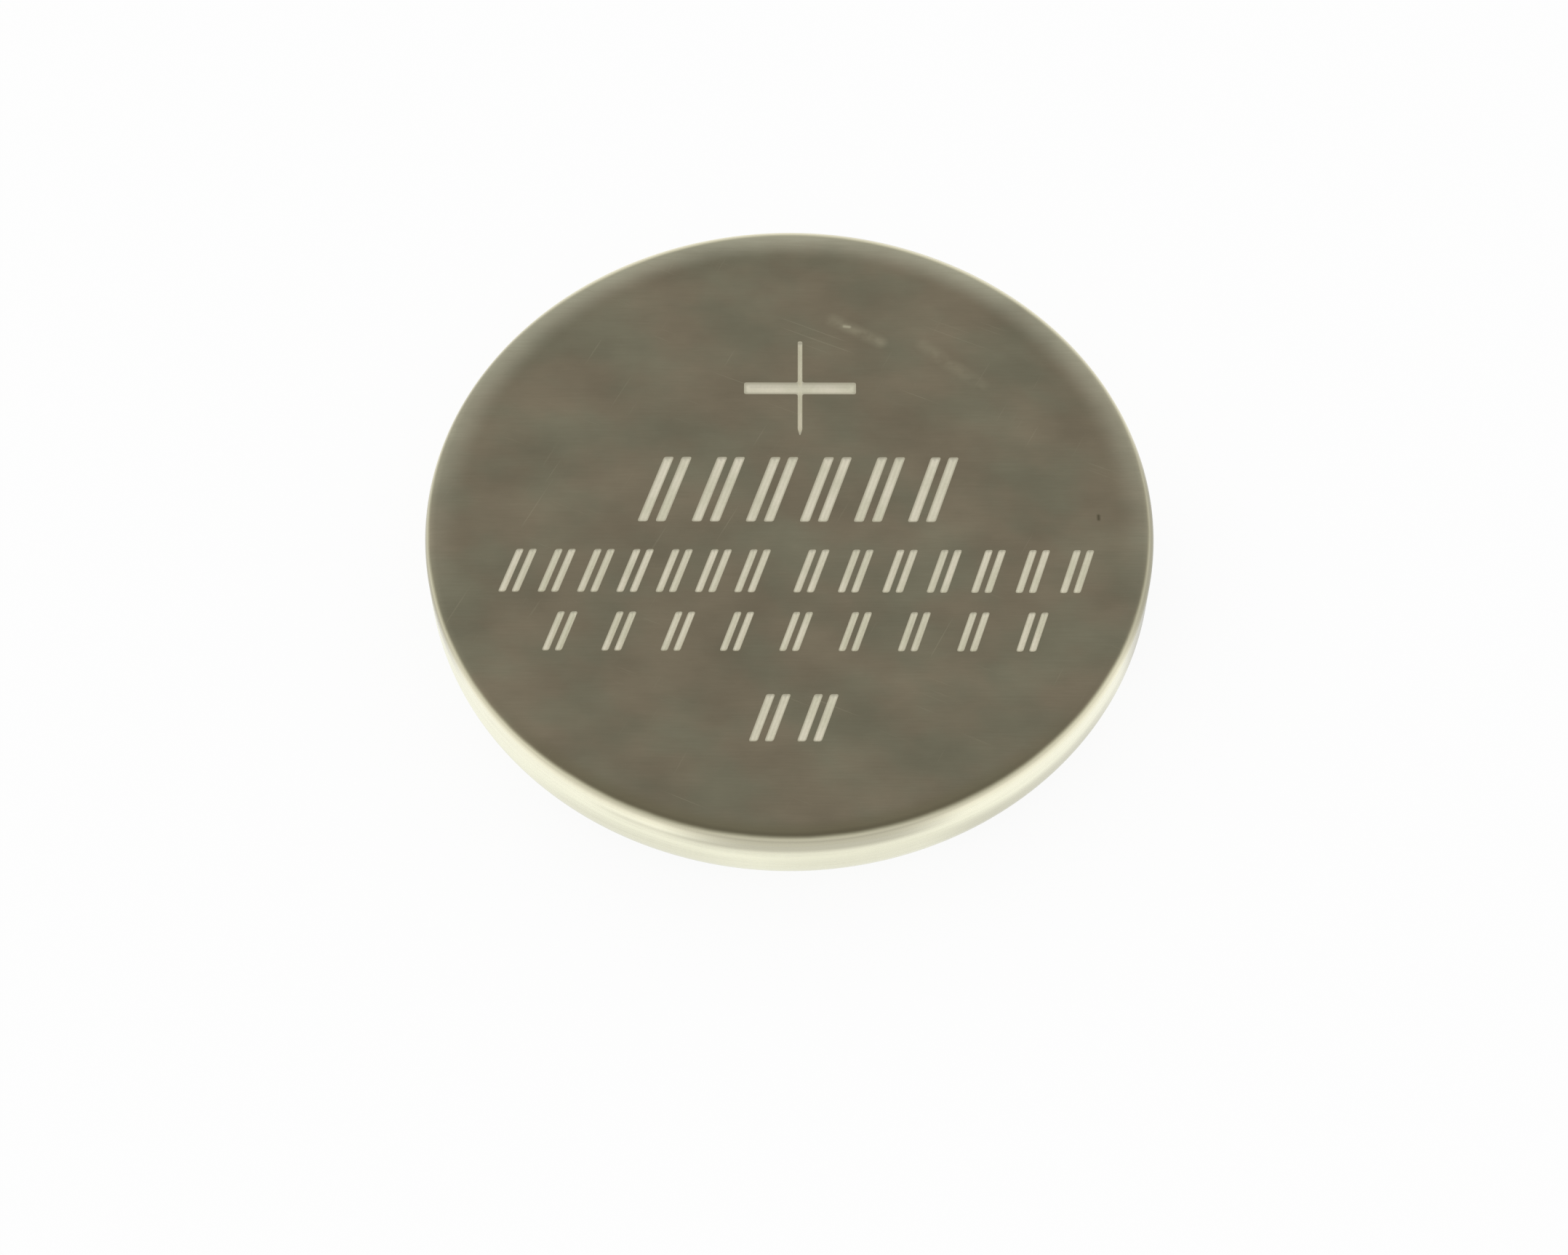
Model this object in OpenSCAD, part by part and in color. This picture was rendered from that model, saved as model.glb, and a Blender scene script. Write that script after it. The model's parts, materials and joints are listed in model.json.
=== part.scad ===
// Lithium coin cell, 20 mm across and 2.5 mm high.
// It lies on its negative contact face, with the positive face up.
// The origin is the centre of the negative contact face, and all sizes are in millimetres.

/* [Cell] */
// Diameter over the can's side wall
cell_d = 20; // [16:0.5:24.5]
// Height from the negative to the positive contact face
cell_h = 2.5; // [2.2:0.1:3.2]

/* [Positive can] */
// Thickness of the can's sheet
can_wall = 0.25; // [0.2:0.01:0.3]
// Inside radius of the bend round the positive face
can_bend_r = 0.05; // [0.05:0.05:0.3]
// Length of the flat lip past the rolled edge
can_lip_run = 0.1; // [0.05:0.05:0.15]

/* [Negative cap] */
// Thickness of the cap's sheet
cap_wall = 0.25; // [0.2:0.01:0.3]
// Inside radius of the cap's bends
cap_bend_r = 0.1; // [0.05:0.01:0.12]
// Width of the flat on the cap's shoulder
shoulder_run = 0.3; // [0.2:0.05:0.5]
// Height that the cap stands proud of the rolled edge
cap_proud = 0.15; // [0.1:0.05:0.3]

/* [Gasket] */
// Thickness of the gasket between can and cap
gasket_wall = 0.28; // [0.2:0.02:0.36]
// Thickness of the gasket's base under the cap's leg
gasket_base = 0.2; // [0.15:0.05:0.3]
// Width of the gasket's base inside the cap's leg
gasket_foot = 0.5; // [0.2:0.1:0.8]
// Gap between the gasket's lip and the bend of the cap's shoulder
gasket_lip_gap = 0.05; // [0.02:0.01:0.05]
// Clearance between the gasket and the metal round it
seal_gap = 0.01; // [0.01:0.01:0.02]

/* [Anode and separator] */
// Thickness of the lithium disc
lithium_t = 0.45; // [0.3:0.05:0.5]
// Gap between the lithium disc and the cap's wall
lithium_gap = 0.55; // [0.2:0.05:1]
// Thickness of the separator's sheet
separator_t = 0.15; // [0.1:0.01:0.2]
// Gap between the separator and the cap's wall
separator_gap = 0.15; // [0.1:0.05:0.3]
// Height of the separator's turned-up rim above its floor
separator_rim = 0.6; // [0.3:0.1:0.8]

/* [Cathode and collector] */
// Gap between the pellet and the separator's rim
pellet_gap = 0.25; // [0.1:0.05:0.5]
// Chamfer on the pellet's edges
pellet_chamfer = 0.12; // [0.05:0.01:0.2]
// Thickness of the collector mesh
mesh_t = 0.15; // [0.1:0.01:0.2]
// Distance from the pellet's edge to the mesh's edge
mesh_inset = 0.3; // [0.1:0.1:1]
// Width of the mesh's strands
mesh_strand = 0.3; // [0.2:0.05:0.5]
// Width of the plain rim round the mesh
mesh_rim = 0.35; // [0.2:0.05:1]
// Long pitch of the mesh's diamonds
mesh_long = 2.4; // [1.8:0.2:4]
// Short pitch of the mesh's diamonds
mesh_short = 1.4; // [1.2:0.1:2.4]

/* [Hidden] */
$fn = 120;

// Radii, from the outside in
can_r = cell_d / 2;
can_in_r = can_r - can_wall;
gasket_r = can_in_r - seal_gap;
leg_r = gasket_r - gasket_wall - seal_gap;

// Outside radius of each bend. The gasket and the can's rolled edge wrap the cap's shoulder
// about one centre, so the gasket has one thickness all the way round.
can_out_r = can_bend_r + can_wall;
cap_out_r = cap_bend_r + cap_wall;
gasket_out_r = cap_out_r + seal_gap + gasket_wall;
roll_out_r = gasket_out_r + seal_gap + can_wall;
gasket_corner_r = can_bend_r + seal_gap;

// Heights, from the rolled edge to the inside of the positive face
lip_z = cap_proud;
gasket_lip_z = lip_z + can_wall + seal_gap;
shoulder_z = gasket_lip_z + gasket_wall + seal_gap;
roll_z = shoulder_z + cap_out_r;
floor_z = cell_h - can_wall;
leg_end_z = floor_z - gasket_base;

// Radii along the shoulder
roll_x = leg_r - cap_out_r;
lip_r = roll_x - can_lip_run;
shoulder_in_r = roll_x - shoulder_run;
face_r = shoulder_in_r - cap_bend_r;
face_in_r = face_r - cap_wall;
gasket_lip_r = shoulder_in_r + gasket_lip_gap;
foot_r = leg_r - cap_wall - gasket_foot;

// The stack inside. The pellet takes the height that the other pieces leave.
lithium_r = face_in_r - lithium_gap;
lithium_top = cap_wall + lithium_t;
separator_r = face_in_r - separator_gap;
separator_top = lithium_top + separator_t;
pellet_r = separator_r - separator_t - pellet_gap;
mesh_z = floor_z - mesh_t;
pellet_t = mesh_z - separator_top;
mesh_r = pellet_r - mesh_inset;

// The mesh's diamonds: half diagonals of one cell, and of the opening left by its strands
cell_a = mesh_long / 2;
cell_b = mesh_short / 2;
cell_in_r = cell_a * cell_b / norm([cell_a, cell_b]);
open_share = 1 - mesh_strand / 2 / cell_in_r;
open_a = cell_a * open_share;
open_b = cell_b * open_share;
open_limit = mesh_r - mesh_rim;
mesh_cols = ceil(mesh_r / mesh_long);
mesh_rows = ceil(mesh_r / cell_b);

// A straight run of sheet in the half section, from one corner to the other
module run(x0, z0, x1, z1) {
    translate([x0, z0])
        square([x1 - x0, z1 - z0]);
}

// A quarter disc in the half section, on the side of its centre that toward gives
module quarter(centre, r, toward) {
    intersection() {
        translate(centre)
            circle(r = r);
        translate([centre[0] - (toward[0] < 0 ? r : 0), centre[1] - (toward[1] < 0 ? r : 0)])
            square(r);
    }
}

// A quarter bend of sheet in the half section
module bend(centre, out_r, thick, toward) {
    difference() {
        quarter(centre, out_r, toward);
        translate(centre)
            circle(r = out_r - thick);
    }
}

// The can: face, bend, side wall, rolled edge and lip, all one pressed sheet
module positive_can() {
    color([0.62, 0.6, 0.53])
        rotate_extrude() {
            run(0, floor_z, can_r - can_out_r, cell_h);
            bend([can_r - can_out_r, cell_h - can_out_r], can_out_r, can_wall, [1, 1]);
            run(can_in_r, roll_z, can_r, cell_h - can_out_r);
            bend([roll_x, roll_z], roll_out_r, can_wall, [1, -1]);
            run(lip_r, lip_z, roll_x, lip_z + can_wall);
        }
}

// The gasket: lip over the shoulder, bend, wall, and a base that the cap's leg stands on
module gasket() {
    color([0.85, 0.84, 0.78])
        rotate_extrude() {
            run(gasket_lip_r, gasket_lip_z, roll_x, gasket_lip_z + gasket_wall);
            bend([roll_x, roll_z], gasket_out_r, gasket_wall, [1, -1]);
            run(gasket_r - gasket_wall, roll_z, gasket_r, floor_z - gasket_corner_r);
            run(foot_r, leg_end_z, gasket_r - gasket_corner_r, floor_z);
            quarter([gasket_r - gasket_corner_r, floor_z - gasket_corner_r], gasket_corner_r, [1, 1]);
        }
}

// The cap: contact face, bend, raised wall, shoulder and leg, all one pressed sheet
module negative_cap() {
    color([0.74, 0.72, 0.66])
        rotate_extrude() {
            run(0, 0, face_r - cap_out_r, cap_wall);
            bend([face_r - cap_out_r, cap_out_r], cap_out_r, cap_wall, [1, -1]);
            run(face_in_r, cap_out_r, face_r, shoulder_z - cap_bend_r);
            bend([shoulder_in_r, shoulder_z - cap_bend_r], cap_out_r, cap_wall, [-1, 1]);
            run(shoulder_in_r, shoulder_z, roll_x, shoulder_z + cap_wall);
            bend([roll_x, roll_z], cap_out_r, cap_wall, [1, -1]);
            run(leg_r - cap_wall, roll_z, leg_r, leg_end_z);
        }
}

// The anode: a punched disc of lithium pressed on the inside of the cap
module lithium_disc() {
    color([0.8, 0.81, 0.83])
        translate([0, 0, cap_wall])
            cylinder(r = lithium_r, h = lithium_t);
}

// The separator: a non-woven cup that holds the pellet off the anode
module separator() {
    color([0.95, 0.95, 0.93])
        rotate_extrude() {
            run(0, lithium_top, separator_r, separator_top);
            run(separator_r - separator_t, separator_top, separator_r, separator_top + separator_rim);
        }
}

// The cathode: a pressed pellet with chamfered edges
module cathode_pellet() {
    color([0.16, 0.16, 0.17])
        translate([0, 0, separator_top])
            rotate_extrude()
                polygon([
                    [0, 0],
                    [pellet_r - pellet_chamfer, 0],
                    [pellet_r, pellet_chamfer],
                    [pellet_r, pellet_t - pellet_chamfer],
                    [pellet_r - pellet_chamfer, pellet_t],
                    [0, pellet_t]
                ]);
}

// One diamond opening of the expanded mesh
module diamond() {
    polygon([[open_a, 0], [0, open_b], [-open_a, 0], [0, -open_b]]);
}

// The collector: expanded steel mesh between the pellet and the can's face
module collector_mesh() {
    color([0.66, 0.67, 0.68])
        translate([0, 0, mesh_z])
            linear_extrude(mesh_t)
                difference() {
                    circle(r = mesh_r);
                    for (row = [-mesh_rows : mesh_rows], col = [-mesh_cols : mesh_cols]) {
                        x = (col + (row % 2 == 0 ? 0 : 0.5)) * mesh_long;
                        y = row * cell_b;
                        if (norm([abs(x) + open_a, abs(y)]) < open_limit
                            && norm([abs(x), abs(y) + open_b]) < open_limit)
                            translate([x, y])
                                diamond();
                    }
                }
}

positive_can();
gasket();
negative_cap();
lithium_disc();
separator();
cathode_pellet();
collector_mesh();
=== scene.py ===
"""A lithium coin cell on a pale floor.

The can with its marked face, the gasket and the cap are built here. The pieces inside are the
frame's own solids with materials on them.
"""

import json
import math

import bmesh
import bpy
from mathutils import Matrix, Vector
from mathutils.geometry import delaunay_2d_cdt


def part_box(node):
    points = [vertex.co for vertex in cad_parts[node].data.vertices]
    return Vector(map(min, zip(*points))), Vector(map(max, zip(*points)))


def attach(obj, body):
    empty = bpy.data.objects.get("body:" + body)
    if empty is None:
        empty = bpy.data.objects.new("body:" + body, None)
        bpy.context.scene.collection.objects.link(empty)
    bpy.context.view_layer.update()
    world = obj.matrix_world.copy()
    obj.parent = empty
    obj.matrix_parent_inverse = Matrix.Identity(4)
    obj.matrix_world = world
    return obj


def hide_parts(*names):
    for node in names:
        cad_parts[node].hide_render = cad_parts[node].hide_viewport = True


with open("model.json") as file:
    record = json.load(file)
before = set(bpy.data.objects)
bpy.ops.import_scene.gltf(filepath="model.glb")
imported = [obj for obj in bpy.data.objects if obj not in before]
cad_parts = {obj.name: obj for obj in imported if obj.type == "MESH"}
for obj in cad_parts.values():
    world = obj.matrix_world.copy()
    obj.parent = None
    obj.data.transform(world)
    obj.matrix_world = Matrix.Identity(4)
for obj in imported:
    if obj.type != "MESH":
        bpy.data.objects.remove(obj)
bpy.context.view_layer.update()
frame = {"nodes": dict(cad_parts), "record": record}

MM = 0.001


# Sizes from the frame, in millimetres

def box_mm(node):
    """A CAD node's lowest and highest corners, in millimetres."""
    low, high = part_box(node)
    return low / MM, high / MM


can_low, can_high = box_mm("positive_can")
_, gasket_high = box_mm("gasket")
_, cap_high = box_mm("negative_cap")
lithium_low, _ = box_mm("lithium_disc")

CAN_R = can_high.x
TOP_Z = can_high.z
LIP_Z = can_low.z
FLOOR_Z = gasket_high.z
CAN_SHEET = TOP_Z - FLOOR_Z
CAP_SHEET = lithium_low.z
GASKET_R = gasket_high.x
LEG_R = cap_high.x
LEG_END_Z = cap_high.z
SEAL_GAP = CAN_R - CAN_SHEET - GASKET_R
GASKET_WALL = GASKET_R - SEAL_GAP - LEG_R

# Inside radii of the bends, and the short flats on the rolled edge, the shoulder and the gasket
CAN_BEND = 0.05
CAP_BEND = 0.1
LIP_RUN = 0.1
SHOULDER_RUN = 0.3
GASKET_FOOT = 0.5
GASKET_LIP_GAP = 0.05

# The bends' outside radii, and the centre that the rolled edge, the gasket and the shoulder share
CAN_OUT = CAN_BEND + CAN_SHEET
CAP_OUT = CAP_BEND + CAP_SHEET
GASKET_OUT = CAP_OUT + SEAL_GAP + GASKET_WALL
ROLL_OUT = GASKET_OUT + SEAL_GAP + CAN_SHEET
ROLL_X = LEG_R - CAP_OUT
ROLL_Z = LIP_Z + ROLL_OUT
FLAT_R = CAN_R - CAN_OUT

# Fineness of the meshes, and rounding that a cut sheet edge and a moulded edge have
AROUND = 320
BEND_STEPS = 12
ROLL_STEPS = 20
SMALL_STEPS = 8
CORNER_STEPS = 4
SHARP_FROM = math.radians(13)
HOLD = 0.02
CUT_ROUND = 0.04
MOULD_ROUND = 0.07

# How near two points are one, and how near the axis a point is on it
ONE_POINT = 1e-4
ON_AXIS = 1e-6


# The half sections

def arc(centre, radius, start, stop, steps=BEND_STEPS):
    """Points on an arc of the half section, from one angle to the other, in degrees."""
    turns = [math.radians(start + (stop - start) * i / steps) for i in range(steps + 1)]
    return [(centre[0] + radius * math.cos(a), centre[1] + radius * math.sin(a)) for a in turns]


def run(start, stop):
    """A straight stretch, with a point just inside each end that keeps the shading of a bend off it."""
    along = Vector(stop) - Vector(start)
    step = along.normalized() * min(HOLD, along.length / 3)
    return [tuple(start), tuple(Vector(start) + step), tuple(Vector(stop) - step), tuple(stop)]


def without_doubles(points):
    """The points, less each one that lies on the one before it."""
    kept = [points[0]]
    for point in points[1:]:
        if math.dist(point, kept[-1]) > ONE_POINT:
            kept.append(point)
    return kept


def can_section():
    """The can from the edge of its flat face, down the wall, round the rolled edge and back inside."""
    corner = (FLAT_R, TOP_Z - CAN_OUT)
    roll = (ROLL_X, ROLL_Z)
    lip_r = ROLL_X - LIP_RUN
    edge = lip_r + CUT_ROUND
    points = [(FLAT_R - HOLD, TOP_Z)]
    points += arc(corner, CAN_OUT, 90, 0)
    points += run((CAN_R, corner[1]), (CAN_R, ROLL_Z))
    points += arc(roll, ROLL_OUT, 0, -90, ROLL_STEPS)
    points += arc((edge, LIP_Z + CUT_ROUND), CUT_ROUND, 270, 180, SMALL_STEPS)
    points += arc((edge, LIP_Z + CAN_SHEET - CUT_ROUND), CUT_ROUND, 180, 90, SMALL_STEPS)
    points += arc(roll, ROLL_OUT - CAN_SHEET, -90, 0, ROLL_STEPS)
    points += run((CAN_R - CAN_SHEET, ROLL_Z), (CAN_R - CAN_SHEET, corner[1]))
    points += arc(corner, CAN_BEND, 0, 90, SMALL_STEPS)
    points += run((FLAT_R, FLOOR_Z), (0, FLOOR_Z))
    return without_doubles(points)


def gasket_section():
    """The gasket's closed section: lip, bend, wall, foot under the cap's leg, and back up inside."""
    roll = (ROLL_X, ROLL_Z)
    lip_r = ROLL_X - SHOULDER_RUN + GASKET_LIP_GAP
    lip_z = ROLL_Z - GASKET_OUT
    foot_r = LEG_R - CAP_SHEET - GASKET_FOOT
    corner = CAN_BEND + SEAL_GAP
    edge = lip_r + MOULD_ROUND
    points = arc((edge, lip_z + GASKET_WALL - MOULD_ROUND), MOULD_ROUND, 90, 180, SMALL_STEPS)
    points += arc((edge, lip_z + MOULD_ROUND), MOULD_ROUND, 180, 270, SMALL_STEPS)
    points += arc(roll, GASKET_OUT, -90, 0, ROLL_STEPS)
    points += run((GASKET_R, ROLL_Z), (GASKET_R, FLOOR_Z - corner))
    points += arc((GASKET_R - corner, FLOOR_Z - corner), corner, 0, 90, SMALL_STEPS)
    points += run((GASKET_R - corner, FLOOR_Z), (foot_r, FLOOR_Z))
    points += run((foot_r, LEG_END_Z), (GASKET_R - GASKET_WALL, LEG_END_Z))
    points += run((GASKET_R - GASKET_WALL, LEG_END_Z), (GASKET_R - GASKET_WALL, ROLL_Z))
    points += arc(roll, GASKET_OUT - GASKET_WALL, 0, -90, ROLL_STEPS)
    return without_doubles(points)


def cap_section():
    """The cap from the centre of its contact face, up the raised wall, over the shoulder to the leg."""
    shoulder_z = ROLL_Z - CAP_OUT
    shoulder_r = ROLL_X - SHOULDER_RUN
    face_r = shoulder_r - CAP_BEND
    low_bend = (face_r - CAP_OUT, CAP_OUT)
    high_bend = (shoulder_r, shoulder_z - CAP_BEND)
    roll = (ROLL_X, ROLL_Z)
    points = run((0, 0), (low_bend[0], 0))
    points += arc(low_bend, CAP_OUT, -90, 0)
    points += run((face_r, CAP_OUT), (face_r, high_bend[1]))
    points += arc(high_bend, CAP_BEND, 180, 90)
    points += run((shoulder_r, shoulder_z), (ROLL_X, shoulder_z))
    points += arc(roll, CAP_OUT, -90, 0)
    points += run((LEG_R, ROLL_Z), (LEG_R, LEG_END_Z))
    points += run((LEG_R - CAP_SHEET, LEG_END_Z), (LEG_R - CAP_SHEET, ROLL_Z))
    points += arc(roll, CAP_BEND, 0, -90)
    points += run((ROLL_X, shoulder_z + CAP_SHEET), (shoulder_r, shoulder_z + CAP_SHEET))
    points += arc(high_bend, CAP_OUT, 90, 180)
    points += run((face_r - CAP_SHEET, high_bend[1]), (face_r - CAP_SHEET, CAP_OUT))
    points += arc(low_bend, CAP_BEND, 0, -90)
    points += run((low_bend[0], CAP_SHEET), (0, CAP_SHEET))
    return without_doubles(points)


# The marks on the positive face, as outlines in millimetres that shrink by an inset.
# The upright of the plus is thinner than its bar, and comes to a blunt point at its foot.

MARK_DEPTH = 0.045
MARK_ROUND = 0.07
SLOPE_SHARE = 0.42
MOST_OF_SIDE = 0.45

PLUS_AT = (0.29, 4.33)
PLUS_WIDE, PLUS_THICK = 3.15, 0.40
PLUS_TALL, PLUS_THIN = 3.26, 0.13
PLUS_POINT = 0.22

# Rows of slanted strokes: left and right end, middle, height, groups, strokes in a group, stroke width
HATCH_ROWS = [
    (-4.17, 4.70, 0.93, 2.14, 6, 2, 0.26),
    (-7.88, -0.49, -1.73, 1.38, 7, 2, 0.19),
    (0.10, 8.32, -1.73, 1.38, 7, 2, 0.19),
    (-6.62, 7.00, -3.65, 1.23, 9, 2, 0.18),
    (-1.06, 1.33, -6.31, 1.44, 2, 2, 0.22),
]
HATCH_TURN = math.radians(72)
HATCH_PITCH = 1.9


def cross(inset):
    """The plus sign."""
    a, b = PLUS_WIDE / 2 - inset, PLUS_THICK / 2 - inset
    c, d = PLUS_TALL / 2 - inset, PLUS_THIN / 2 - min(inset, PLUS_THIN * SLOPE_SHARE)
    foot = [(-d, -b), (-d, PLUS_POINT - c), (0, -c), (d, PLUS_POINT - c), (d, -b)]
    corners = [(a, -b), (a, b), (d, b), (d, c), (-d, c), (-d, b), (-a, b), (-a, -b)] + foot
    return [(PLUS_AT[0] + x, PLUS_AT[1] + y) for x, y in corners]


def stroke(x, y, tall, width):
    """A slanted stroke with level ends: a function that gives its outline for an inset."""
    lean = 1 / math.tan(HATCH_TURN)
    across = 1 / math.sin(HATCH_TURN)

    def outline(inset):
        up, side = tall / 2 - inset, (width / 2 - inset) * across
        return [(x + s * side + t * up * lean, y + t * up) for s, t in ((1, -1), (1, 1), (-1, 1), (-1, -1))]

    return outline


def mark_shapes():
    """Every mark on the face and the width of its sloped sides: the plus and the rows of strokes."""
    shapes = [(cross, PLUS_THICK * SLOPE_SHARE)]
    for left, right, y, tall, groups, strokes, width in HATCH_ROWS:
        step = width * HATCH_PITCH
        used = tall / math.tan(HATCH_TURN) + width / math.sin(HATCH_TURN) + (strokes - 1) * step
        pitch = (right - left - used) / (groups - 1)
        middle = (left + right) / 2
        for i in range(groups):
            for j in range(strokes):
                x = middle + (i - (groups - 1) / 2) * pitch + (j - (strokes - 1) / 2) * step
                shapes.append((stroke(x, y, tall, width), width * SLOPE_SHARE))
    return shapes


def rounded(corners, radius):
    """The outline with each corner taken off by a curve that starts at most a radius before it."""
    points = []
    for i, corner in enumerate(corners):
        here = Vector(corner)
        before = Vector(corners[i - 1]) - here
        after = Vector(corners[(i + 1) % len(corners)]) - here
        cut = min(radius, before.length * MOST_OF_SIDE, after.length * MOST_OF_SIDE)
        start = here + before.normalized() * cut
        stop = here + after.normalized() * cut
        for j in range(CORNER_STEPS + 1):
            t = j / CORNER_STEPS
            points.append(start * (1 - t) ** 2 + here * 2 * t * (1 - t) + stop * t * t)
    return points


# Building the meshes

def rings_of(bm, section):
    """The vertices of each point of the section, turned about the axis. A point on the axis is one vertex."""
    rings = []
    for r, z in section:
        if r < ON_AXIS:
            rings.append([bm.verts.new((0, 0, z * MM))])
            continue
        turns = [2 * math.pi * i / AROUND for i in range(AROUND)]
        rings.append([bm.verts.new((r * MM * math.cos(a), r * MM * math.sin(a), z * MM)) for a in turns])
    return rings


def join_rings(bm, first, second):
    """Faces between two rings, or between a ring and a point on the axis."""
    for i in range(AROUND):
        j = (i + 1) % AROUND
        if len(second) == 1:
            bm.faces.new((first[i], first[j], second[0]))
        elif len(first) == 1:
            bm.faces.new((first[0], second[i], second[j]))
        else:
            bm.faces.new((first[i], first[j], second[j], second[i]))


def marked_face(bm, ring):
    """The flat face inside the ring, with each mark sunk into it on sloped sides."""
    points = [Vector((v.co.x, v.co.y)) / MM for v in ring]
    loops = [list(range(len(points)))]
    sunk = set()
    for shape, slope in mark_shapes():
        for inset in (0, slope):
            outline = rounded(shape(inset), max(MARK_ROUND - inset, MARK_ROUND / 3))
            loops.append(list(range(len(points), len(points) + len(outline))))
            points += outline
        sunk.update(loops[-1])
    found = delaunay_2d_cdt(points, [], loops, 1, 1e-6)
    places, _, faces, from_points, _, from_loops = found
    verts = []
    for place, sources in zip(places, from_points):
        source = sources[0]
        if source < len(ring):
            verts.append(ring[source])
            continue
        z = TOP_Z - MARK_DEPTH if source in sunk else TOP_Z
        verts.append(bm.verts.new((place.x * MM, place.y * MM, z * MM)))
    for corners, sources in zip(faces, from_loops):
        face = bm.faces.new([verts[i] for i in corners])
        face.material_index = 1 if max(sources) > 0 else 0


def piece_from(bm, name, materials):
    """A smooth-shaded object from the closed mesh, with its bent edges and the marks' outlines sharp."""
    bmesh.ops.recalc_face_normals(bm, faces=bm.faces[:])
    for edge in bm.edges:
        one, other = edge.link_faces
        edge.smooth = one.material_index == other.material_index and edge.calc_face_angle() < SHARP_FROM
    mesh = bpy.data.meshes.new(name)
    bm.to_mesh(mesh)
    bm.free()
    mesh.polygons.foreach_set("use_smooth", [True] * len(mesh.polygons))
    for material in materials:
        mesh.materials.append(material)
    piece = bpy.data.objects.new(name, mesh)
    bpy.context.scene.collection.objects.link(piece)
    return piece


def stand_for(piece, node):
    """The piece stands for a CAD node, on the cell's one body."""
    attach(piece, "root")
    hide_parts(node)


def make_can(materials):
    """The can with the marks in its face."""
    bm = bmesh.new()
    rings = rings_of(bm, can_section())
    for first, second in zip(rings, rings[1:]):
        join_rings(bm, first, second)
    marked_face(bm, rings[0])
    stand_for(piece_from(bm, "can_shell", materials), "positive_can")


def make_gasket(material):
    """The moulded ring between can and cap."""
    bm = bmesh.new()
    rings = rings_of(bm, gasket_section())
    for i, ring in enumerate(rings):
        join_rings(bm, rings[i - 1], ring)
    stand_for(piece_from(bm, "gasket_ring", [material]), "gasket")


def make_cap(material):
    """The stepped cap, which is the negative contact."""
    bm = bmesh.new()
    rings = rings_of(bm, cap_section())
    for first, second in zip(rings, rings[1:]):
        join_rings(bm, first, second)
    stand_for(piece_from(bm, "cap_shell", [material]), "negative_cap")


# Node helpers

def srgb(red, green, blue):
    """A colour given as it looks on screen, from 0 to 255, in Blender's linear terms."""
    shares = [value / 255 for value in (red, green, blue)]
    return tuple(s / 12.92 if s <= 0.04045 else ((s + 0.055) / 1.055) ** 2.4 for s in shares) + (1,)


def add(tree, kind, inputs=None, output=0, **settings):
    """Adds a shader node with its settings and inputs, and returns one of its outputs."""
    node = tree.nodes.new("ShaderNode" + kind)
    for name, value in settings.items():
        setattr(node, name, value)
    for name, value in (inputs or {}).items():
        feed(tree, node.inputs[name], value)
    return node.outputs[output]


def feed(tree, socket, value):
    """Links an output to a socket, or sets the socket's own value."""
    if isinstance(value, bpy.types.NodeSocket):
        tree.links.new(value, socket)
    else:
        socket.default_value = value


def calc(tree, operation, first, second=0.0, clamp=False):
    """A Math node."""
    return add(tree, "Math", {0: first, 1: second}, operation=operation, use_clamp=clamp)


def smooth(tree, value, start, stop):
    """0 before start and 1 past stop, with a soft step between."""
    inputs = {"Value": value, "From Min": start, "From Max": stop}
    return add(tree, "MapRange", inputs, interpolation_type="SMOOTHSTEP")


def spread(tree, value, low, high):
    """Stretches a value from 0..1 to low..high."""
    return add(tree, "MapRange", {"Value": value, "To Min": low, "To Max": high})


def blend(tree, share, first, second, kind="MIX"):
    """A colour mix."""
    return add(tree, "Mix", {0: share, 6: first, 7: second}, output=2, data_type="RGBA", blend_type=kind)


def colour_steps(tree, value, stops):
    """A colour from a value of 0..1, by places on the way and the colours there."""
    node = tree.nodes.new("ShaderNodeValToRGB")
    tree.links.new(value, node.inputs[0])
    ramp = node.color_ramp.elements
    ramp.remove(ramp[1])
    ramp[0].position, ramp[0].color = stops[0]
    for position, colour in stops[1:]:
        ramp.new(position).color = colour
    return node.outputs[0]


def in_mm(tree):
    """The object's own coordinates, in millimetres."""
    place = add(tree, "TexCoord", output=3)
    return add(tree, "VectorMath", {0: place, "Scale": 1 / MM}, operation="SCALE")


def parts_of(tree, vector):
    """The x, y and z of a vector."""
    node = tree.nodes.new("ShaderNodeSeparateXYZ")
    tree.links.new(vector, node.inputs[0])
    return node.outputs[0], node.outputs[1], node.outputs[2]


def noise(tree, place, per_mm, turn=0, detail=2, rough=0.5):
    """Noise with its own features a millimetre along each axis, after a turn about Z in degrees."""
    turned = add(tree, "VectorRotate", {"Vector": place, "Angle": math.radians(turn)}, rotation_type="Z_AXIS")
    stretched = add(tree, "VectorMath", {0: turned, 1: per_mm}, operation="MULTIPLY")
    return add(tree, "TexNoise", {"Vector": stretched, "Scale": 1, "Detail": detail, "Roughness": rough})


def bump(tree, height, depth_mm):
    """A bump from a height of 0..1."""
    return add(tree, "Bump", {"Height": height, "Distance": depth_mm * MM, "Strength": 1})


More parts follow.
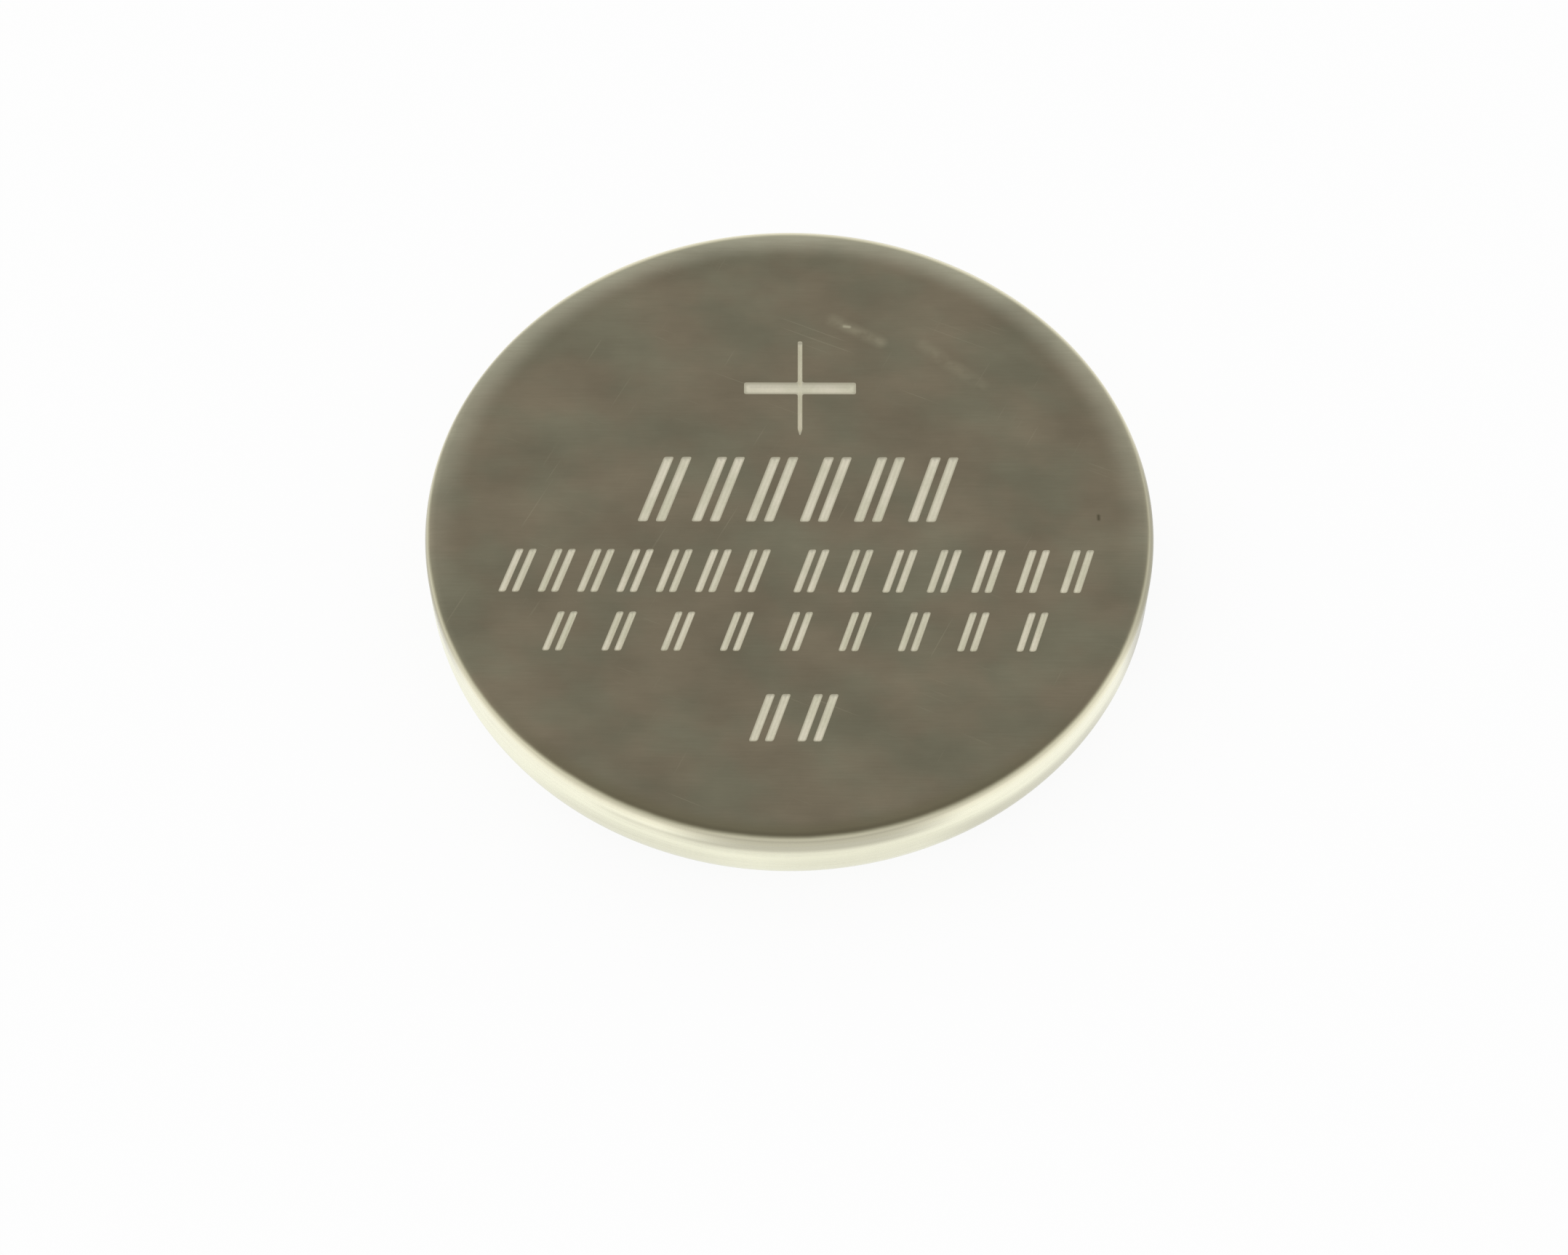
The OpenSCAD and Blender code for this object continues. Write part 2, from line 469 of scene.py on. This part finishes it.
def distance_to_line(tree, place, start, stop):
    """How far a point of the face is from a straight line between two points on it, in millimetres."""
    first = Vector((*start, TOP_Z))
    along = Vector((*stop, TOP_Z)) - first
    offset = add(tree, "VectorMath", {0: place, 1: first}, operation="SUBTRACT")
    dot = add(tree, "VectorMath", {0: offset, 1: along}, output=1, operation="DOT_PRODUCT")
    share = calc(tree, "DIVIDE", dot, along.length_squared, clamp=True)
    nearest = add(tree, "VectorMath", {0: along, "Scale": share}, operation="SCALE")
    return add(tree, "VectorMath", {0: offset, 1: nearest}, output=1, operation="DISTANCE")


def new_material(name, **constants):
    """A node material, its tree and its shader, with the constants set on the shader's own sockets."""
    material = bpy.data.materials.new(name)
    material.use_nodes = True
    tree = material.node_tree
    shader = tree.nodes["Principled BSDF"]
    for socket, value in constants.items():
        shader.inputs[socket.replace("_", " ")].default_value = value
    return material, tree, shader


# The can's steel

# The face's dark warm grey is painted reflection; its warm and cool tints, clouds and grain are the steel's
# random tone
FACE_WARM = srgb(123, 114, 96)
FACE_COOL = srgb(118, 115, 97)
FACE_BACK_SHEEN = srgb(180, 178, 157)
FACE_FRONT_SHADE = srgb(108, 102, 80)
SMUDGE = srgb(150, 144, 122)
FLECK_DARK = srgb(84, 78, 62)
FLECK_LIGHT = srgb(176, 171, 148)
FACE_GRAIN = srgb(104, 98, 78)

# The face has a painted sheen at its back edge and painted shade at its front edge: the radii
# and the places along Y, in millimetres, between which each one sets in
SHEEN_RADII = 8.9, 9.9
SHEEN_PLACES = -5, 9.5
SHADE_RADII = 9.3, 9.75
SHADE_PLACES = -5, -9
SHADE_SHARE = 0.7

# The rim's colour by tilt in degrees, 0 is the face, 90 the top of the wall, 180 the rolled edge: its darker
# run over the bend is painted reflection
RIM_REFLECTION = [
    (20, srgb(160, 155, 130)),
    (35, srgb(192, 188, 162)),
    (47, srgb(218, 213, 187)),
    (60, srgb(238, 233, 208)),
    (75, srgb(251, 248, 222)),
    (135, srgb(254, 252, 227)),
    (155, srgb(251, 250, 225)),
    (165, srgb(245, 244, 221)),
    (180, srgb(236, 236, 215)),
]
DARK_UNTIL, BRIGHT_FROM = 16, 42

# How many degrees of tilt sooner the painted reflection brightens the steel at the back, and how many later
# at the left
BACK_SHEEN_LEAD = 24
LEFT_SHEEN_LAG = 9

# Where each sets in, in millimetres, and how many degrees the face's edge wavers
LEAD_PLACES = 3, 9.5
LEAD_RADII = 9.6, 9.75
LAG_PLACES = -5, -8.5
WAVER = 4

# Arcs of painted shade on the rim, darker patches in its reflection: the azimuth of their middle,
# half their length, their first and last tilt, all in degrees, and their strength
# The grey of the painted shade arcs, and of the wall's random worn patches
WORN_AND_SHADE_GREY = srgb(166, 162, 141)
SHADE_ARCS = [
    (-86, 16, 49, 139, 0.73),
    (-76, 15, 152, 172, 0.2),
    (-109, 5, 116, 142, 0.3),
    (-170, 13, 45, 132, 0.75),
    (-5, 15, 34, 200, 1),
    (-46, 15, 158, 200, 0.5),
    (-114, 12, 156, 200, 0.2),
    (68, 20, 66, 134, 0.6),
    (132, 18, 156, 200, 0.37),
]
SHADE_ARC_FADE = 9
SHADE_ARC_TILT_FADE = 9, 20

# Two rubbed lines on the face, and a dark and a light fleck
RUBS = [((1.22, 6.71), (2.56, 5.95), 0.3, 0.7), ((3.79, 5.82), (5.40, 4.44), 0.32, 0.42)]
FLECKS = [((8.48, -0.04), (8.48, 0.08), 0.08, FLECK_DARK), ((1.55, 6.49), (1.69, 6.47), 0.08, FLECK_LIGHT)]


def face_colour(tree, place):
    """Warm grey steel, clouded and faintly greenish, with a painted sheen towards the back edge and painted
    shade in front.
    """
    _, y, _ = parts_of(tree, place)
    radius = add(tree, "VectorMath", {0: place, 1: (0, 0, TOP_Z)}, output=1, operation="DISTANCE")
    tints = noise(tree, place, (0.35, 0.45, 0), turn=20, detail=3)
    colour = blend(tree, smooth(tree, tints, 0.38, 0.66), FACE_WARM, FACE_COOL)
    clouds = noise(tree, place, (0.35, 0.5, 0), detail=5)
    colour = blend(tree, 1, colour, spread(tree, clouds, 0.6, 1.4), kind="MULTIPLY")
    # Painted sheen at the back edge, then painted shade at the front edge
    edge = calc(tree, "MULTIPLY", smooth(tree, radius, *SHEEN_RADII), smooth(tree, y, *SHEEN_PLACES))
    edge = calc(tree, "MULTIPLY", edge, spread(tree, clouds, 0.4, 1.4))
    colour = blend(tree, edge, colour, FACE_BACK_SHEEN)
    front_shade = calc(tree, "MULTIPLY", smooth(tree, radius, *SHADE_RADII), smooth(tree, y, *SHADE_PLACES))
    colour = blend(tree, calc(tree, "MULTIPLY", front_shade, SHADE_SHARE), colour, FACE_FRONT_SHADE)
    for start, stop, reach, strength in RUBS:
        away = distance_to_line(tree, place, start, stop)
        broken = noise(tree, place, (1.6, 1.6, 0), detail=3)
        share = calc(tree, "MULTIPLY", smooth(tree, away, reach, 0), smooth(tree, broken, 0.25, 0.6))
        colour = blend(tree, calc(tree, "MULTIPLY", share, strength), colour, SMUDGE)
    for start, stop, reach, shade in FLECKS:
        away = distance_to_line(tree, place, start, stop)
        colour = blend(tree, smooth(tree, away, reach, 0), colour, shade)
    return colour


def tilt_of(tree, radius, z):
    """How far round the rim a point is, in degrees, seen from the centre of the bend."""
    out = calc(tree, "MAXIMUM", calc(tree, "SUBTRACT", radius, FLAT_R), 0)
    up = calc(tree, "SUBTRACT", z, TOP_Z - CAN_OUT)
    return calc(tree, "MULTIPLY", calc(tree, "ARCTAN2", out, up), 180 / math.pi)


def rim_colour(tree, flat, tilt):
    """Steel with a painted reflection that brightens over the bend and is brightest on the wall, and a few
    arcs of painted shade.
    """
    stops = [(angle / 180, colour) for angle, colour in RIM_REFLECTION]
    colour = colour_steps(tree, calc(tree, "DIVIDE", tilt, 180), stops)
    toward = add(tree, "VectorMath", {0: flat}, operation="NORMALIZE")
    first_fade, last_fade = SHADE_ARC_TILT_FADE
    # Each arc darkens the rim's reflection: painted shade
    for azimuth, half, first, last, strength in SHADE_ARCS:
        middle = (math.cos(math.radians(azimuth)), math.sin(math.radians(azimuth)), 0)
        nearness = add(tree, "VectorMath", {0: toward, 1: middle}, output=1, operation="DOT_PRODUCT")
        ends = [math.cos(math.radians(half + side * SHADE_ARC_FADE)) for side in (1, -1)]
        share = calc(tree, "MULTIPLY", smooth(tree, nearness, *ends), strength)
        share = calc(tree, "MULTIPLY", share, smooth(tree, tilt, first - first_fade, first + first_fade))
        share = calc(tree, "MULTIPLY", share, smooth(tree, tilt, last + last_fade, last - last_fade))
        colour = blend(tree, share, colour, WORN_AND_SHADE_GREY)
    return colour


def scratches(tree, place, turn, fineness):
    """Thin straight scratches along one direction."""
    lines = noise(tree, place, (0.22, fineness, 0), turn=turn, detail=1)
    patches = noise(tree, place, (0.5, 0.5, 0), turn=turn + 40, detail=1)
    return calc(tree, "MULTIPLY", smooth(tree, lines, 0.68, 0.74), smooth(tree, patches, 0.5, 0.65))


def can_steel():
    """Nickel-plated steel, rougher on the face than on the drawn wall, with the face's dark warm grey a
    painted reflection.
    """
    material, tree, shader = new_material("can_steel", Metallic=1)
    place = in_mm(tree)
    x, y, z = parts_of(tree, place)
    flat = add(tree, "CombineXYZ", {0: x, 1: y})
    radius = add(tree, "VectorMath", {0: flat}, output=1, operation="LENGTH")
    # Painted reflection: the bright rim steel sets in sooner at the back and later at the left
    behind = calc(tree, "MULTIPLY", smooth(tree, y, *LEAD_PLACES), smooth(tree, radius, *LEAD_RADII))
    lead = calc(tree, "MULTIPLY", behind, BACK_SHEEN_LEAD)
    lag = calc(tree, "MULTIPLY", smooth(tree, x, *LAG_PLACES), LEFT_SHEEN_LAG)
    tilt = calc(tree, "ADD", tilt_of(tree, radius, z), calc(tree, "SUBTRACT", lead, lag))
    waver = noise(tree, place, (1.2, 1.2, 0), detail=3)
    rim = smooth(tree, calc(tree, "ADD", tilt, spread(tree, waver, -WAVER, WAVER)), DARK_UNTIL, BRIGHT_FROM)

    grain = noise(tree, place, (0.9, 16, 2), detail=4, rough=0.65)
    draw = noise(tree, place, (7, 7, 0.35), detail=3, rough=0.6)
    turned = noise(tree, place, (0.25, 0.25, 9), detail=3, rough=0.6)
    scratched = calc(tree, "MAXIMUM", scratches(tree, place, 24, 13), scratches(tree, place, -63, 11))

    face = blend(tree, spread(tree, grain, 0.0, 0.32), face_colour(tree, place), FACE_GRAIN)
    face = blend(tree, calc(tree, "MULTIPLY", scratched, 0.3), face, SMUDGE)
    worn = calc(tree, "MULTIPLY", spread(tree, draw, 0.0, 0.22), smooth(tree, turned, 0.4, 0.75))
    wall = blend(tree, worn, rim_colour(tree, flat, tilt), WORN_AND_SHADE_GREY)
    feed(tree, shader.inputs["Base Color"], blend(tree, rim, face, wall))

    dull = calc(tree, "ADD", spread(tree, grain, 0.32, 0.46), calc(tree, "MULTIPLY", scratched, 0.08))
    bright = spread(tree, turned, 0.22, 0.32)
    roughness = add(tree, "Mix", {0: rim, 2: dull, 3: bright})
    feed(tree, shader.inputs["Roughness"], roughness)

    face_height = calc(tree, "SUBTRACT", grain, calc(tree, "MULTIPLY", scratched, 0.4))
    wall_height = calc(tree, "ADD", calc(tree, "MULTIPLY", draw, 0.3), calc(tree, "MULTIPLY", turned, 0.3))
    height = add(tree, "Mix", {0: rim, 2: face_height, 3: wall_height})
    feed(tree, shader.inputs["Normal"], bump(tree, height, depth_mm=0.0035))
    return material


MARK_PALE = srgb(223, 217, 197)
MARK_CLOUD = srgb(209, 206, 183)
MARK_SLOPE_SHADE = srgb(180, 175, 154)
MARK_GRAIN = srgb(170, 164, 142)

# The share of a mark's depth over which painted shade darkens its slope
SLOPE_SHADE_FROM = 0.7


def etched_steel():
    """The sunk marks: pale, dull and grainy, with painted shade that darkens them up their sloped sides."""
    material, tree, shader = new_material("etched_steel", Metallic=0.9)
    place = in_mm(tree)
    grain = noise(tree, place, (14, 14, 14), detail=3, rough=0.6)
    clouds = noise(tree, place, (0.7, 0.7, 0), detail=2)
    _, _, z = parts_of(tree, place)
    # Painted shade up the sloped sides of each mark
    up = smooth(tree, z, TOP_Z - MARK_DEPTH * SLOPE_SHADE_FROM, TOP_Z)
    pale = blend(tree, smooth(tree, clouds, 0.35, 0.65), MARK_PALE, MARK_CLOUD)
    colour = blend(tree, up, pale, MARK_SLOPE_SHADE)
    colour = blend(tree, spread(tree, grain, 0, 0.3), colour, MARK_GRAIN)
    feed(tree, shader.inputs["Base Color"], colour)
    feed(tree, shader.inputs["Roughness"], spread(tree, grain, 0.36, 0.5))
    feed(tree, shader.inputs["Normal"], bump(tree, grain, depth_mm=0.005))
    return material


# The other materials

PLASTIC_MILKY = srgb(236, 234, 226)
PLASTIC_CLOUD = srgb(224, 222, 211)
CAP_PALE = srgb(208, 204, 190)
CAP_CLOUD = srgb(195, 193, 180)
CAP_GRAIN = srgb(166, 162, 148)
CAP_RUBBED = srgb(232, 229, 216)
LITHIUM_FRESH = srgb(210, 211, 214)
LITHIUM_GREYED = srgb(168, 168, 170)
CLOTH_GAPS = srgb(222, 222, 218)
CLOTH_FIBRES = srgb(248, 248, 246)
POWDER_BLACK = srgb(34, 34, 36)
POWDER_GREY = srgb(74, 73, 74)
MESH_PALE = srgb(206, 206, 204)
MESH_DARK = srgb(158, 158, 156)


def gasket_plastic():
    """Milky polypropylene with a faint moulded grain."""
    material, tree, shader = new_material("gasket_plastic", Subsurface_Weight=0.25, Subsurface_Scale=0.0004)
    place = in_mm(tree)
    clouds = noise(tree, place, (0.8, 0.8, 0.8), detail=3)
    grain = noise(tree, place, (12, 12, 12), detail=3, rough=0.6)
    feed(tree, shader.inputs["Base Color"], blend(tree, clouds, PLASTIC_MILKY, PLASTIC_CLOUD))
    feed(tree, shader.inputs["Roughness"], spread(tree, grain, 0.36, 0.5))
    feed(tree, shader.inputs["Normal"], bump(tree, grain, depth_mm=0.003))
    return material


def cap_steel():
    """Fine satin stainless steel, with rolling grain and a little rubbing on the contact face."""
    material, tree, shader = new_material("cap_steel", Metallic=1)
    place = in_mm(tree)
    grain = noise(tree, place, (13, 0.8, 3), detail=4, rough=0.65)
    clouds = noise(tree, place, (0.5, 0.6, 0.5), detail=3)
    rubbed = calc(tree, "MAXIMUM", scratches(tree, place, 38, 11), scratches(tree, place, -20, 13))
    colour = blend(tree, clouds, CAP_PALE, CAP_CLOUD)
    colour = blend(tree, spread(tree, grain, 0, 0.3), colour, CAP_GRAIN)
    colour = blend(tree, calc(tree, "MULTIPLY", rubbed, 0.4), colour, CAP_RUBBED)
    feed(tree, shader.inputs["Base Color"], colour)
    feed(tree, shader.inputs["Roughness"], spread(tree, grain, 0.26, 0.4))
    feed(tree, shader.inputs["Normal"], bump(tree, grain, depth_mm=0.003))
    return material


def lithium_metal():
    """Soft rolled lithium: dull silver that has greyed in patches."""
    material, tree, shader = new_material("lithium_metal", Metallic=1)
    place = in_mm(tree)
    patches = noise(tree, place, (0.6, 0.6, 0.6), detail=5, rough=0.6)
    rolled = noise(tree, place, (0.5, 9, 3), detail=3)
    colour = blend(tree, smooth(tree, patches, 0.4, 0.65), LITHIUM_FRESH, LITHIUM_GREYED)
    feed(tree, shader.inputs["Base Color"], colour)
    feed(tree, shader.inputs["Roughness"], spread(tree, patches, 0.4, 0.65))
    feed(tree, shader.inputs["Normal"], bump(tree, rolled, depth_mm=0.006))
    return material


def separator_cloth():
    """Non-woven polypropylene: white fibres pressed into a sheet."""
    material, tree, shader = new_material("separator_cloth", Sheen_Weight=0.15)
    place = in_mm(tree)
    one_way = noise(tree, place, (0.8, 14, 4), turn=31, detail=3, rough=0.6)
    other_way = noise(tree, place, (0.8, 14, 4), turn=-52, detail=3, rough=0.6)
    fibres = calc(tree, "MAXIMUM", one_way, other_way)
    feed(tree, shader.inputs["Base Color"], blend(tree, fibres, CLOTH_GAPS, CLOTH_FIBRES))
    feed(tree, shader.inputs["Roughness"], spread(tree, fibres, 0.75, 0.95))
    feed(tree, shader.inputs["Normal"], bump(tree, fibres, depth_mm=0.02))
    return material


def cathode_mix():
    """Pressed manganese dioxide with carbon: matt black with finer grey grains."""
    material, tree, shader = new_material("cathode_mix")
    place = in_mm(tree)
    grains = noise(tree, place, (9, 9, 9), detail=4, rough=0.7)
    colour = blend(tree, smooth(tree, grains, 0.5, 0.75), POWDER_BLACK, POWDER_GREY)
    feed(tree, shader.inputs["Base Color"], colour)
    feed(tree, shader.inputs["Roughness"], spread(tree, grains, 0.75, 0.95))
    feed(tree, shader.inputs["Normal"], bump(tree, grains, depth_mm=0.012))
    return material


def mesh_steel():
    """Slit and stretched stainless steel."""
    material, tree, shader = new_material("mesh_steel", Metallic=1)
    place = in_mm(tree)
    torn = noise(tree, place, (3, 8, 8), detail=4, rough=0.6)
    feed(tree, shader.inputs["Base Color"], blend(tree, torn, MESH_PALE, MESH_DARK))
    feed(tree, shader.inputs["Roughness"], spread(tree, torn, 0.3, 0.5))
    feed(tree, shader.inputs["Normal"], bump(tree, torn, depth_mm=0.006))
    return material


def dress_nodes(by_slot):
    """Every CAD node, shown or not, takes the material of its slot."""
    for row in frame["record"]["subparts"]:
        node = frame["nodes"][row["node"]]
        material = by_slot[row["material_slot"]]
        if not node.material_slots:
            node.data.materials.append(material)
        for held in node.material_slots:
            held.material = material


# Floor, light and camera

FLOOR_HALF = 1.0
FLOOR_DROP = 0.01

# How much of the floor is plain white where the camera sees it, and where the metal mirrors it
WHITE_SEEN = 0.9
WHITE_MIRRORED = 0.85
FLOOR_MATT = (0.95, 0.95, 0.95, 1)


def make_floor():
    """A white floor that keeps the cell's soft shadow."""
    material = bpy.data.materials.new("floor_white")
    material.use_nodes = True
    tree = material.node_tree
    tree.nodes.clear()
    path = tree.nodes.new("ShaderNodeLightPath").outputs
    seen = calc(tree, "MULTIPLY", path["Is Camera Ray"], WHITE_SEEN)
    mirrored = calc(tree, "MAXIMUM", path["Is Glossy Ray"], path["Is Transmission Ray"])
    share = calc(tree, "MAXIMUM", seen, calc(tree, "MULTIPLY", mirrored, WHITE_MIRRORED))
    matt = add(tree, "BsdfDiffuse", {"Color": FLOOR_MATT})
    glow = add(tree, "Emission", {"Color": (1, 1, 1, 1), "Strength": 1})
    mixed = add(tree, "MixShader", {0: share, 1: matt, 2: glow})
    output = tree.nodes.new("ShaderNodeOutputMaterial")
    tree.links.new(mixed, output.inputs["Surface"])
    mesh = bpy.data.meshes.new("floor")
    z = -FLOOR_DROP * MM
    corners = [(x * FLOOR_HALF, y * FLOOR_HALF, z) for x, y in ((-1, -1), (1, -1), (1, 1), (-1, 1))]
    mesh.from_pydata(corners, [], [(0, 1, 2, 3)])
    mesh.materials.append(material)
    floor = bpy.data.objects.new("floor", mesh)
    bpy.context.scene.collection.objects.link(floor)


# How bright the pale room is at a few heights in degrees, and how much of that its front wall has
ROOM = [(0, 1.0), (20, 1.0), (35, 0.9), (57, 0.8), (70, 0.66), (90, 0.55)]
FRONT_WALL = 0.85
FRONT_SETS_IN = 0.1, -0.9


def make_room():
    """A pale room: white round the horizon, greyer overhead and towards the front."""
    world = bpy.data.worlds.new("room")
    world.use_nodes = True
    bpy.context.scene.world = world
    tree = world.node_tree
    _, y, height = parts_of(tree, add(tree, "TexCoord", output=0))
    stops = [(math.sin(math.radians(angle)), (level, level, level, 1)) for angle, level in ROOM]
    front = spread(tree, smooth(tree, y, *FRONT_SETS_IN), 1, FRONT_WALL)
    colour = blend(tree, 1, colour_steps(tree, height, stops), front, kind="MULTIPLY")
    background = tree.nodes["Background"]
    tree.links.new(colour, background.inputs["Color"])
    background.inputs["Strength"].default_value = 1


# Each lamp's name, place and width in metres, and power in watts
LAMPS = [
    ("left_lamp", (-0.26, 0.05, 0.27), 0.6, 0.25),
    ("right_lamp", (0.25, 0.10, 0.25), 0.6, 0.18),
]


def make_lamp(name, spot, size, power):
    """A square soft lamp that looks at the cell."""
    data = bpy.data.lights.new(name, "AREA")
    data.shape = "SQUARE"
    data.size = size
    data.energy = power
    lamp = bpy.data.objects.new(name, data)
    lamp.location = spot
    lamp.rotation_euler = (-Vector(spot)).to_track_quat("-Z", "Y").to_euler()
    bpy.context.scene.collection.objects.link(lamp)


# The photograph's frame in pixels and where the cell's middle is in it, then the camera's distance,
# height angle and lens in millimetres, and the nearest and farthest that it sees, in metres
PHOTO_W, PHOTO_H = 2156, 1725
CELL_X, CELL_Y = 1085, 745
CAMERA_FAR = 90
CAMERA_UP = math.radians(57.3)
LENS, SENSOR = 74.42, 36
NEAREST, FARTHEST = 0.005, 10


def make_camera():
    """The camera looks down on the cell from the front, as in the photograph."""
    middle = Vector((0, 0, TOP_Z / 2))
    back = Vector((0, -math.cos(CAMERA_UP), math.sin(CAMERA_UP)))
    right = Vector((1, 0, 0))
    up = right.cross(-back)
    pixel = CAMERA_FAR / (LENS / SENSOR * PHOTO_W)
    aim = middle - right * (CELL_X - PHOTO_W / 2) * pixel - up * (PHOTO_H / 2 - CELL_Y) * pixel
    spot = middle + back * CAMERA_FAR
    data = bpy.data.cameras.new("camera")
    data.lens = LENS
    data.sensor_width = SENSOR
    data.clip_start = NEAREST
    data.clip_end = FARTHEST
    camera = bpy.data.objects.new("camera", data)
    camera.location = spot * MM
    camera.rotation_euler = (aim - spot).to_track_quat("-Z", "Y").to_euler()
    bpy.context.scene.collection.objects.link(camera)
    bpy.context.scene.camera = camera


steel = can_steel()
plastic = gasket_plastic()
satin = cap_steel()
dress_nodes({
    "can_steel": steel,
    "gasket_plastic": plastic,
    "cap_steel": satin,
    "lithium_metal": lithium_metal(),
    "separator_cloth": separator_cloth(),
    "cathode_mix": cathode_mix(),
    "mesh_steel": mesh_steel(),
})
make_can([steel, etched_steel()])
make_gasket(plastic)
make_cap(satin)
make_floor()
make_room()
for lamp in LAMPS:
    make_lamp(*lamp)
make_camera()
bpy.context.scene.view_settings.view_transform = "Standard"
